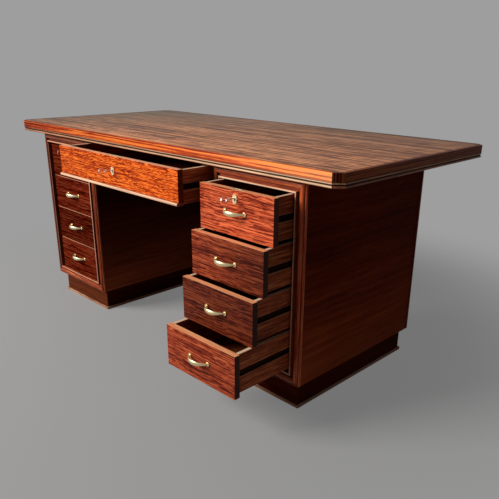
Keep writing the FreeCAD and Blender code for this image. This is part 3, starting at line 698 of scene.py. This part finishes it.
def dressed(node, slot, bevel, shortest, surface):
    """The node's solids as one piece with eased edges, its own grain for each board, and its finish."""
    places, grains, faces = [], [], []
    luck = random.Random(node)
    wooden = slot not in METAL_SLOTS
    cuts = next((value for ending, value in CUTS.items() if node.endswith(ending)), ())
    for triangles in solids_of(node):
        shape, eased = worked(triangles, bevel, shortest, cuts)
        low, high = bounds_of([v.co for v in shape.verts])
        along, up, across = grain_axes(node, low, high, (low + high) / 2)
        offset = Vector([luck.uniform(-GRAIN_SHIFT, GRAIN_SHIFT) for _ in range(3)])
        shade = luck.uniform(*SHADES)
        first = len(places)
        shape.verts.index_update()
        for v in shape.verts:
            places.append(v.co.copy())
            grains.append(Vector((v.co.dot(along), v.co.dot(up), v.co.dot(across))) + offset)
        for f in shape.faces:
            middle = f.calc_center_median()
            hollow = hollowness(middle, f.normal, surface) if wooden else 0.0
            # A groove's faces get at least this much painted shade and grime
            if in_groove(node, middle, f.normal, low, high):
                hollow = max(hollow, GROOVE_SHADE_AND_GRIME)
            end = wooden and abs(f.normal.dot(along)) > MOSTLY and not is_corner_piece(node, high - low)
            corners = [first + v.index for v in f.verts]
            # The tone and the paleness of each corner also carry painted light, shade, sheen and highlights
            corner_marks_and_light = [(shade * tone_and_light_at(node, v.co, low, high), float(end), float(f in eased),
                             paleness_and_light(node, v.co, middle, f.normal, low, high)) for v in f.verts]
            faces.append(ShownFace(corners, f.normal.copy(), f.calc_area(), hollow, corner_marks_and_light))
        shape.free()

    mesh = bpy.data.meshes.new(node + "_shown")
    mesh.from_pydata(places, [], [face.corners for face in faces])
    normals, marks, hollows = corner_values(faces)
    grain = mesh.attributes.new("grain", "FLOAT_VECTOR", "POINT")
    grain.data.foreach_set("vector", [part for spot in grains for part in spot])
    mesh.attributes.new("marks", "FLOAT_COLOR", "CORNER").data.foreach_set("color", marks)
    mesh.attributes.new("hollows", "FLOAT", "CORNER").data.foreach_set("value", hollows)
    for polygon in mesh.polygons:
        polygon.use_smooth = True
    mesh.normals_split_custom_set(normals)
    mesh.materials.append(MATERIALS[OWN_FINISHES.get(node, slot)])
    piece = bpy.data.objects.new(node + "_shown", mesh)
    bpy.context.scene.collection.objects.link(piece)
    return piece


def dress_desk():
    """Puts the dressed copy of every node in its place, on its body."""
    bodies = frame["record"]["behaviour"]["bodies"]
    body_of = {name: body for body, names in bodies.items() for name in names}
    surfaces = {body: body_surface(names) for body, names in bodies.items()}
    for part in sorted(frame["record"]["subparts"], key=lambda part: part["node"]):
        node, slot = part["node"], part["material_slot"]
        bevel, shortest = WOOD_BEVEL, WOOD_SHORTEST
        if slot in METAL_SLOTS:
            bevel, shortest = METAL_BEVEL, METAL_SHORTEST
        piece = dressed(node, slot, bevel, SHARP_MORTISES.get(node, shortest), surfaces[body_of[node]])
        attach(piece, body_of[node])
        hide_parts(node)
        solid = frame["nodes"][node].data
        solid.materials.clear()
        solid.materials.append(MATERIALS[slot])


def heads_tree(name, slotted):
    """Small round heads, one on each point of the given mesh and turned by chance, with or without a slot."""
    tree = bpy.data.node_groups.new(name, "GeometryNodeTree")
    tree.interface.new_socket(name="Geometry", in_out="OUTPUT", socket_type="NodeSocketGeometry")
    tree.interface.new_socket(name="Geometry", in_out="INPUT", socket_type="NodeSocketGeometry")
    for socket in ("Head Radius", "Head Height", "Slot Width", "Slot Depth"):
        made = tree.interface.new_socket(name=socket, in_out="INPUT", socket_type="NodeSocketFloat")
        made.default_value = SCREW_HEADS[socket]
    tree.interface.new_socket(name="Seed", in_out="INPUT", socket_type="NodeSocketInt")
    tree.interface.new_socket(name="Finish", in_out="INPUT", socket_type="NodeSocketMaterial")
    given = tree.nodes.new("NodeGroupInput").outputs
    radius, height = given["Head Radius"], given["Head Height"]
    ball = place(tree, "GeometryNodeMeshUVSphere", {"Segments": 24, "Rings": 12, "Radius": 1.0})
    size = place(tree, "ShaderNodeCombineXYZ", {0: radius, 1: radius, 2: height})
    head = place(tree, "GeometryNodeTransform", {"Geometry": ball, "Scale": size})
    if slotted:
        bar_length = maths(tree, "MULTIPLY", radius, 2.4)
        bar_height = maths(tree, "MULTIPLY", given["Slot Depth"], 2.0)
        bar_size = place(tree, "ShaderNodeCombineXYZ", {
            0: bar_length, 1: given["Slot Width"], 2: bar_height})
        bar = place(tree, "GeometryNodeMeshCube", {"Size": bar_size})
        lift = place(tree, "ShaderNodeCombineXYZ", {2: height})
        cutter = place(tree, "GeometryNodeTransform", {"Geometry": bar, "Translation": lift})
        head = place(tree, "GeometryNodeMeshBoolean", {"Mesh 1": head, "Mesh 2": cutter},
                     operation="DIFFERENCE")
    facing = place(tree, "GeometryNodeInputNamedAttribute", {"Name": "facing"}, data_type="FLOAT_VECTOR")
    upright = place(tree, "FunctionNodeAlignRotationToVector", {"Vector": facing}, axis="Z")
    chance = place(tree, "FunctionNodeRandomValue", {3: math.pi, "Seed": given["Seed"]}, out=1,
                   data_type="FLOAT")
    spun = place(tree, "FunctionNodeAxisAngleToRotation", {"Axis": (0, 0, 1), "Angle": chance})
    turned = place(tree, "FunctionNodeRotateRotation", {"Rotation": upright, "Rotate By": spun},
                   rotation_space="LOCAL")
    heads = place(tree, "GeometryNodeInstanceOnPoints", {
        "Points": given["Geometry"], "Instance": head, "Rotation": turned})
    real = place(tree, "GeometryNodeRealizeInstances", {"Geometry": heads})
    done = place(tree, "GeometryNodeSetMaterial", {"Geometry": real, "Material": given["Finish"]})
    tree.links.new(done, tree.nodes.new("NodeGroupOutput").inputs["Geometry"])
    return tree


def stood_heads(name, tree, spots, facing, values):
    """The heads at these places, as one plain piece."""
    points = bpy.data.meshes.new(name + "_points")
    points.from_pydata(spots, [], [])
    directions = points.attributes.new("facing", "FLOAT_VECTOR", "POINT")
    directions.data.foreach_set("vector", [c for _ in spots for c in facing])
    holder = bpy.data.objects.new(name + "_points", points)
    bpy.context.scene.collection.objects.link(holder)
    modifier = holder.modifiers.new(name, "NODES")
    modifier.node_group = tree
    for item in tree.interface.items_tree:
        if item.in_out == "INPUT" and item.name in values:
            modifier[item.identifier] = values[item.name]
    seen = holder.evaluated_get(bpy.context.evaluated_depsgraph_get())
    mesh = bpy.data.meshes.new_from_object(seen)
    holder.modifiers.clear()
    bpy.data.objects.remove(holder)
    mesh.name = name
    piece = bpy.data.objects.new(name, mesh)
    bpy.context.scene.collection.objects.link(piece)
    return piece


def lock_fixings():
    """Two slotted screws in each lock's edge plate, and two round pins in each keyhole plate."""
    screws, pins = heads_tree("slotted screw heads", True), heads_tree("pin heads", False)
    brass = {"Finish": MATERIALS["lock_brass"]}
    for body, names in sorted(frame["record"]["behaviour"]["bodies"].items()):
        for node in names:
            if not node.endswith("_lock"):
                continue
            boxes = [bounds_of([spot for triangle in solid for spot in triangle])
                     for solid in solids_of(node)]
            low, high = max(boxes, key=lambda box: box[1].z)
            middle, reach = (low + high) / 2, (high.x - low.x) * SCREW_SHARE
            spots = [(middle.x + side * reach, middle.y, high.z - SCREW_SINK) for side in (-1, 1)]
            made = stood_heads(node + "_screws", screws, spots, (0, 0, 1), {**SCREW_HEADS, **brass})
            low, high = min(boxes, key=lambda box: box[0].y)
            middle, reach = (low + high) / 2, (high.z - low.z) * PIN_SHARE
            spots = [(middle.x, low.y + PIN_SINK, middle.z + side * reach) for side in (-1, 1)]
            held = stood_heads(node + "_pins", pins, spots, (0, -1, 0), {**PIN_HEADS, **brass})
            for piece in (made, held):
                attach(piece, body)


def studio_floor():
    """A plain pale floor. Near the desk it takes the desk's shadow, and further out it is the background."""
    mesh = bpy.data.meshes.new("studio_floor")
    signs = ((-1, -1), (1, -1), (1, 1), (-1, 1))
    mesh.from_pydata([(x * FLOOR_REACH, y * FLOOR_REACH, 0) for x, y in signs], [], [(0, 1, 2, 3)])
    floor = bpy.data.objects.new("studio_floor", mesh)
    bpy.context.scene.collection.objects.link(floor)
    material = bpy.data.materials.new("studio floor")
    material.use_nodes = True
    tree = material.node_tree
    tree.nodes.clear()
    spot = place(tree, "ShaderNodeTexCoord", out=3)
    distance = place(tree, "ShaderNodeVectorMath", {0: spot}, out=1, operation="LENGTH")
    far = spread(tree, distance, PLAIN_FROM, PLAIN_TO, PLAIN_LEAST, 1.0)
    path = tree.nodes.new("ShaderNodeLightPath").outputs
    seen = maths(tree, "MAXIMUM", path["Is Camera Ray"], path["Is Glossy Ray"])
    paint = place(tree, "ShaderNodeBsdfDiffuse", {"Color": FLOOR_PAINT})
    plain = place(tree, "ShaderNodeEmission", {"Color": BACKGROUND})
    mix = place(tree, "ShaderNodeMixShader", {0: maths(tree, "MULTIPLY", far, seen), 1: paint, 2: plain})
    output = tree.nodes.new("ShaderNodeOutputMaterial")
    tree.links.new(mix, output.inputs["Surface"])
    mesh.materials.append(material)


def studio_world(ambient, mirrored):
    """The plain background for what is seen directly, and soft light of the stated level for the rest."""
    world = bpy.data.worlds.new("studio")
    bpy.context.scene.world = world
    world.use_nodes = True
    tree = world.node_tree
    tree.nodes.clear()
    path = tree.nodes.new("ShaderNodeLightPath").outputs
    soft = place(tree, "ShaderNodeBackground", {"Color": (1.0, 0.96, 0.92, 1), "Strength": ambient})
    glossy = place(tree, "ShaderNodeBackground", {"Color": (1.0, 0.97, 0.93, 1), "Strength": mirrored})
    plain = place(tree, "ShaderNodeBackground", {"Color": BACKGROUND, "Strength": 1.0})
    mirror = maths(tree, "MAXIMUM", path["Is Glossy Ray"], path["Is Transmission Ray"])
    mix = place(tree, "ShaderNodeMixShader", {0: mirror, 1: soft, 2: glossy})
    mix = place(tree, "ShaderNodeMixShader", {0: path["Is Camera Ray"], 1: mix, 2: plain})
    output = tree.nodes.new("ShaderNodeOutputWorld")
    tree.links.new(mix, output.inputs["Surface"])


def soft_lamp(name, start, target, width, watts, colour):
    """A wide square lamp at one place that shines at another."""
    lamp = bpy.data.lights.new(name, "AREA")
    lamp.size = width
    lamp.energy = watts
    lamp.color = colour
    holder = bpy.data.objects.new(name, lamp)
    holder.location = start
    holder.rotation_euler = (Vector(target) - Vector(start)).to_track_quat("-Z", "Y").to_euler()
    bpy.context.scene.collection.objects.link(holder)


def photo_camera():
    """The camera that shows the desk as the photograph does."""
    ahead = Vector((-math.sin(YAW) * math.cos(PITCH), math.cos(YAW) * math.cos(PITCH), math.sin(PITCH)))
    right = ahead.cross(Vector((0, 0, 1))).normalized()
    up = right.cross(ahead)
    right, up = math.cos(ROLL) * right + math.sin(ROLL) * up, math.cos(ROLL) * up - math.sin(ROLL) * right
    lens = bpy.data.cameras.new("photo_camera")
    lens.sensor_fit = "HORIZONTAL"
    lens.sensor_width = 36.0
    lens.lens = FOCUS_PIXELS / PHOTO_SIDE * lens.sensor_width
    lens.shift_x = ((PHOTO_SIDE - 1) / 2 - CENTRE_X) / PHOTO_SIDE
    lens.shift_y = (CENTRE_Y - (PHOTO_SIDE - 1) / 2) / PHOTO_SIDE
    lens.clip_end = 200.0
    camera = bpy.data.objects.new("photo_camera", lens)
    turn = Matrix((right, up, -ahead)).transposed().to_4x4()
    spot = Vector(EYE) / 1000 + Vector((0, DESK_MIDDLE_Y, 0))
    camera.matrix_world = Matrix.Translation(spot) @ turn
    bpy.context.scene.collection.objects.link(camera)
    bpy.context.scene.camera = camera


photo_camera()
dress_desk()
lock_fixings()
studio_floor()
studio_world(ambient=0.07, mirrored=0.31)
soft_lamp("key", start=(-2.72, -4.43, 3.35), target=(0.1, 0.0, 0.45), width=2.6, watts=452.0,
          colour=(1.0, 0.97, 0.92))
bpy.context.scene.view_settings.view_transform = "Standard"
